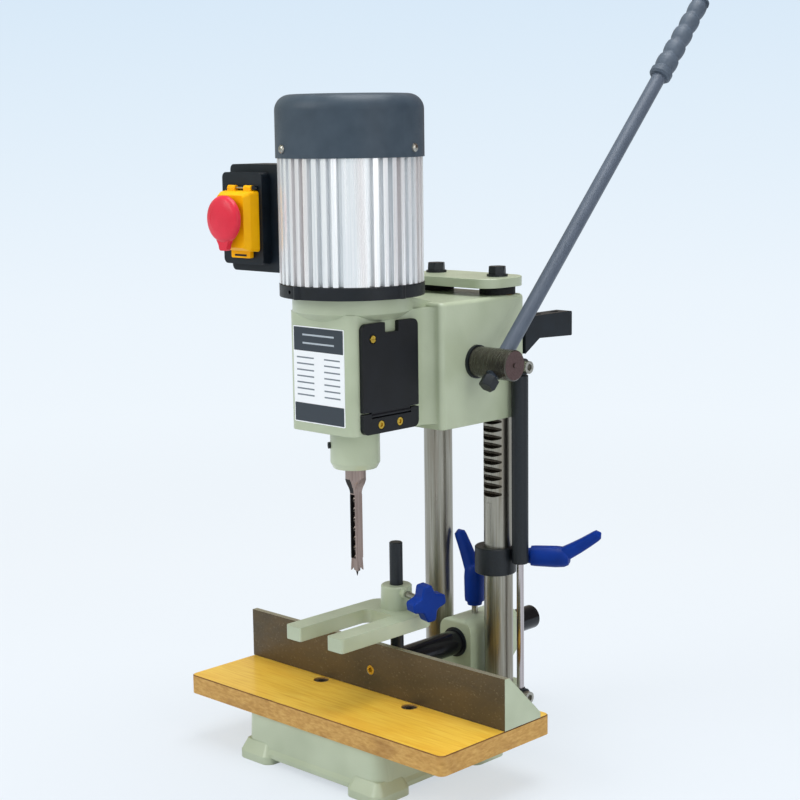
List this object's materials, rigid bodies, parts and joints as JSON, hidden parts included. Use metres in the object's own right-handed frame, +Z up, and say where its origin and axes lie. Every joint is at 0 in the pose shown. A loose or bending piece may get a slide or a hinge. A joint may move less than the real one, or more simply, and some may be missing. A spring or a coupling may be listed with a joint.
{
  "type": "benchtop_mortiser",
  "caption": "Benchtop hollow-chisel mortiser: ribbed motor on a head that a hand lever racks down two round columns, over a board table with fence and hold-down fork.",
  "frame": {"origin": "centre of the four bench bolts, on the bench plane", "axes": "+X to the user's right, +Y to the back, +Z up"},
  "size_m": [0.33, 0.4969, 0.7103],
  "materials": {
    "green_enamel": "hammered grey-green enamel over cast iron",
    "browned_iron": "oiled and browned iron plate",
    "lacquered_board": "clear-lacquered board with raw sawn edges",
    "ground_steel": "ground and polished steel",
    "black_steel": "blackened steel",
    "black_rubber": "moulded rubber buffer",
    "chromed_rod": "hard-chromed rod",
    "bronze": "sintered bronze",
    "slate_casting": "dark painted casting",
    "ribbed_aluminium": "as-extruded ribbed aluminium",
    "slate_cowl": "satin slate paint on pressed steel",
    "bright_screw": "zinc-plated steel",
    "black_plastic": "moulded black plastic",
    "chisel_steel": "hardened tool steel, straw-browned",
    "brass": "brass",
    "browned_hub": "oil-blackened steel",
    "grip_plastic": "moulded grip",
    "yellow_plastic": "moulded yellow plastic",
    "red_plastic": "moulded red plastic",
    "green_plastic": "moulded green plastic",
    "blue_plastic": "moulded blue plastic"
  },
  "bodies": {
    "root": {"base_casting": "green_enamel", "wood_table": "lacquered_board", "table_screws": "black_steel", "left_column": "ground_steel", "rack_column": "ground_steel", "top_plate": "green_enamel", "plate_bolts": "black_steel", "buffer_rings": "black_rubber", "fence_bar_bush": "black_steel", "strut_rod": "chromed_rod", "strut_foot_eye": "black_steel", "strut_foot_screw": "bright_screw"},
    "head": {"head_casting": "green_enamel", "column_bushes": "bronze", "feed_bushes": "black_steel", "motor_flange": "slate_casting", "motor_housing": "ribbed_aluminium", "motor_end_shield": "ribbed_aluminium", "motor_bearings": "ground_steel", "stator": "black_steel", "fan_cowl": "slate_cowl", "cowl_screws": "bright_screw", "switch_case": "black_plastic", "switch_frame": "black_plastic", "flap_pin": "bright_screw", "hollow_chisel": "chisel_steel", "cover_strip": "black_plastic", "strip_screws": "brass", "cover_pin": "bright_screw", "strut_tube": "black_steel", "strut_head_screw": "bright_screw", "tool_holder": "black_plastic", "holder_bolts": "black_steel"},
    "spindle": {"rotor_shaft": "ground_steel", "rotor_core": "black_steel", "cooling_fan": "black_plastic", "drill_chuck": "ground_steel", "chuck_jaws": "ground_steel", "auger_bit": "chisel_steel"},
    "feed": {"feed_gear": "ground_steel", "feed_shaft": "browned_hub", "lever_rod": "black_steel", "lever_grip": "grip_plastic", "lever_nut": "black_steel"},
    "cover": {"chuck_cover": "black_plastic"},
    "latch": {"cover_latch": "brass"},
    "chisel_lock": {"chisel_lock_screw": "black_steel"},
    "flap": {"switch_flap": "yellow_plastic"},
    "paddle": {"stop_paddle": "red_plastic"},
    "start": {"start_button": "green_plastic"},
    "stop": {"stop_button": "red_plastic"},
    "fence_slide": {"fence": "browned_iron", "fence_bar": "black_steel", "fence_screw": "brass", "hold_down_post": "black_steel"},
    "fence_clamp": {"fence_clamp_lever": "blue_plastic"},
    "hold_down": {"hold_down_fork": "green_enamel"},
    "hold_knob": {"hold_down_knob": "blue_plastic"},
    "depth_stop": {"stop_collar": "black_steel"},
    "stop_clamp": {"stop_clamp_lever": "blue_plastic"}
  },
  "joints": [
    {"name": "head_slide", "type": "slide", "parent": "root", "child": "head", "axis": [0, 0, 1], "range_m": [-0.11, 0]},
    {"name": "lever_turn", "type": "hinge", "parent": "head", "child": "feed", "pos_m": [0, 0.087, 0.3695], "axis": [1, 0, 0], "range_deg": [0, 158]},
    {"name": "spindle_turn", "type": "hinge", "parent": "head", "child": "spindle", "pos_m": [0, -0.0152, 0.45], "axis": [0, 0, 1], "continuous": true},
    {"name": "cover_hinge", "type": "hinge", "parent": "head", "child": "cover", "pos_m": [0.0434, -0.0135, 0.3335], "axis": [0, 1, 0], "range_deg": [0, 90]},
    {"name": "latch_turn", "type": "hinge", "parent": "cover", "child": "latch", "pos_m": [0.0434, -0.0357, 0.4013], "axis": [1, 0, 0], "range_deg": [-90, 90]},
    {"name": "chisel_lock_turn", "type": "hinge", "parent": "head", "child": "chisel_lock", "pos_m": [-0.01147, -0.03158, 0.3], "axis": [-0.5736, -0.8192, 0], "range_deg": [0, 360]},
    {"name": "flap_hinge", "type": "hinge", "parent": "head", "child": "flap", "pos_m": [-0.0935, -0.0626, 0.5312], "axis": [-1, 0, 0], "range_deg": [0, 100]},
    {"name": "paddle_press", "type": "slide", "parent": "flap", "child": "paddle", "axis": [0, 1, 0], "range_m": [0, 0.004], "stiffness_N_per_m": 300},
    {"name": "start_press", "type": "slide", "parent": "head", "child": "start", "axis": [0, 1, 0], "range_m": [0, 0.004], "stiffness_N_per_m": 300},
    {"name": "stop_press", "type": "slide", "parent": "head", "child": "stop", "axis": [0, 1, 0], "range_m": [0, 0.004], "stiffness_N_per_m": 300},
    {"name": "fence_travel", "type": "slide", "parent": "root", "child": "fence_slide", "axis": [0, -1, 0], "range_m": [-0.05, 0.01]},
    {"name": "fence_clamp_turn", "type": "hinge", "parent": "root", "child": "fence_clamp", "pos_m": [0, 0.147, 0.13], "axis": [0, 0, 1], "range_deg": [-90, 90]},
    {"name": "hold_down_travel", "type": "slide", "parent": "fence_slide", "child": "hold_down", "axis": [0, 0, 1], "range_m": [-0.012, 0.04]},
    {"name": "hold_knob_turn", "type": "hinge", "parent": "hold_down", "child": "hold_knob", "pos_m": [0.0483, 0.02306, 0.153], "axis": [0.9659, -0.2588, 0], "range_deg": [0, 360]},
    {"name": "stop_travel", "type": "slide", "parent": "root", "child": "depth_stop", "axis": [0, 0, 1], "range_m": [-0.05, 0.015]},
    {"name": "stop_clamp_turn", "type": "hinge", "parent": "depth_stop", "child": "stop_clamp", "pos_m": [0.0814, 0.1645, 0.174], "axis": [0.848, 0.5299, 0], "range_deg": [-90, 90]}
  ],
  "couplings": [
    {"joint": "lever_turn", "follows": "head_slide", "rad_per_m": -25},
    {"joint": "stop_press", "follows": "paddle_press", "ratio": 1}
  ]
}
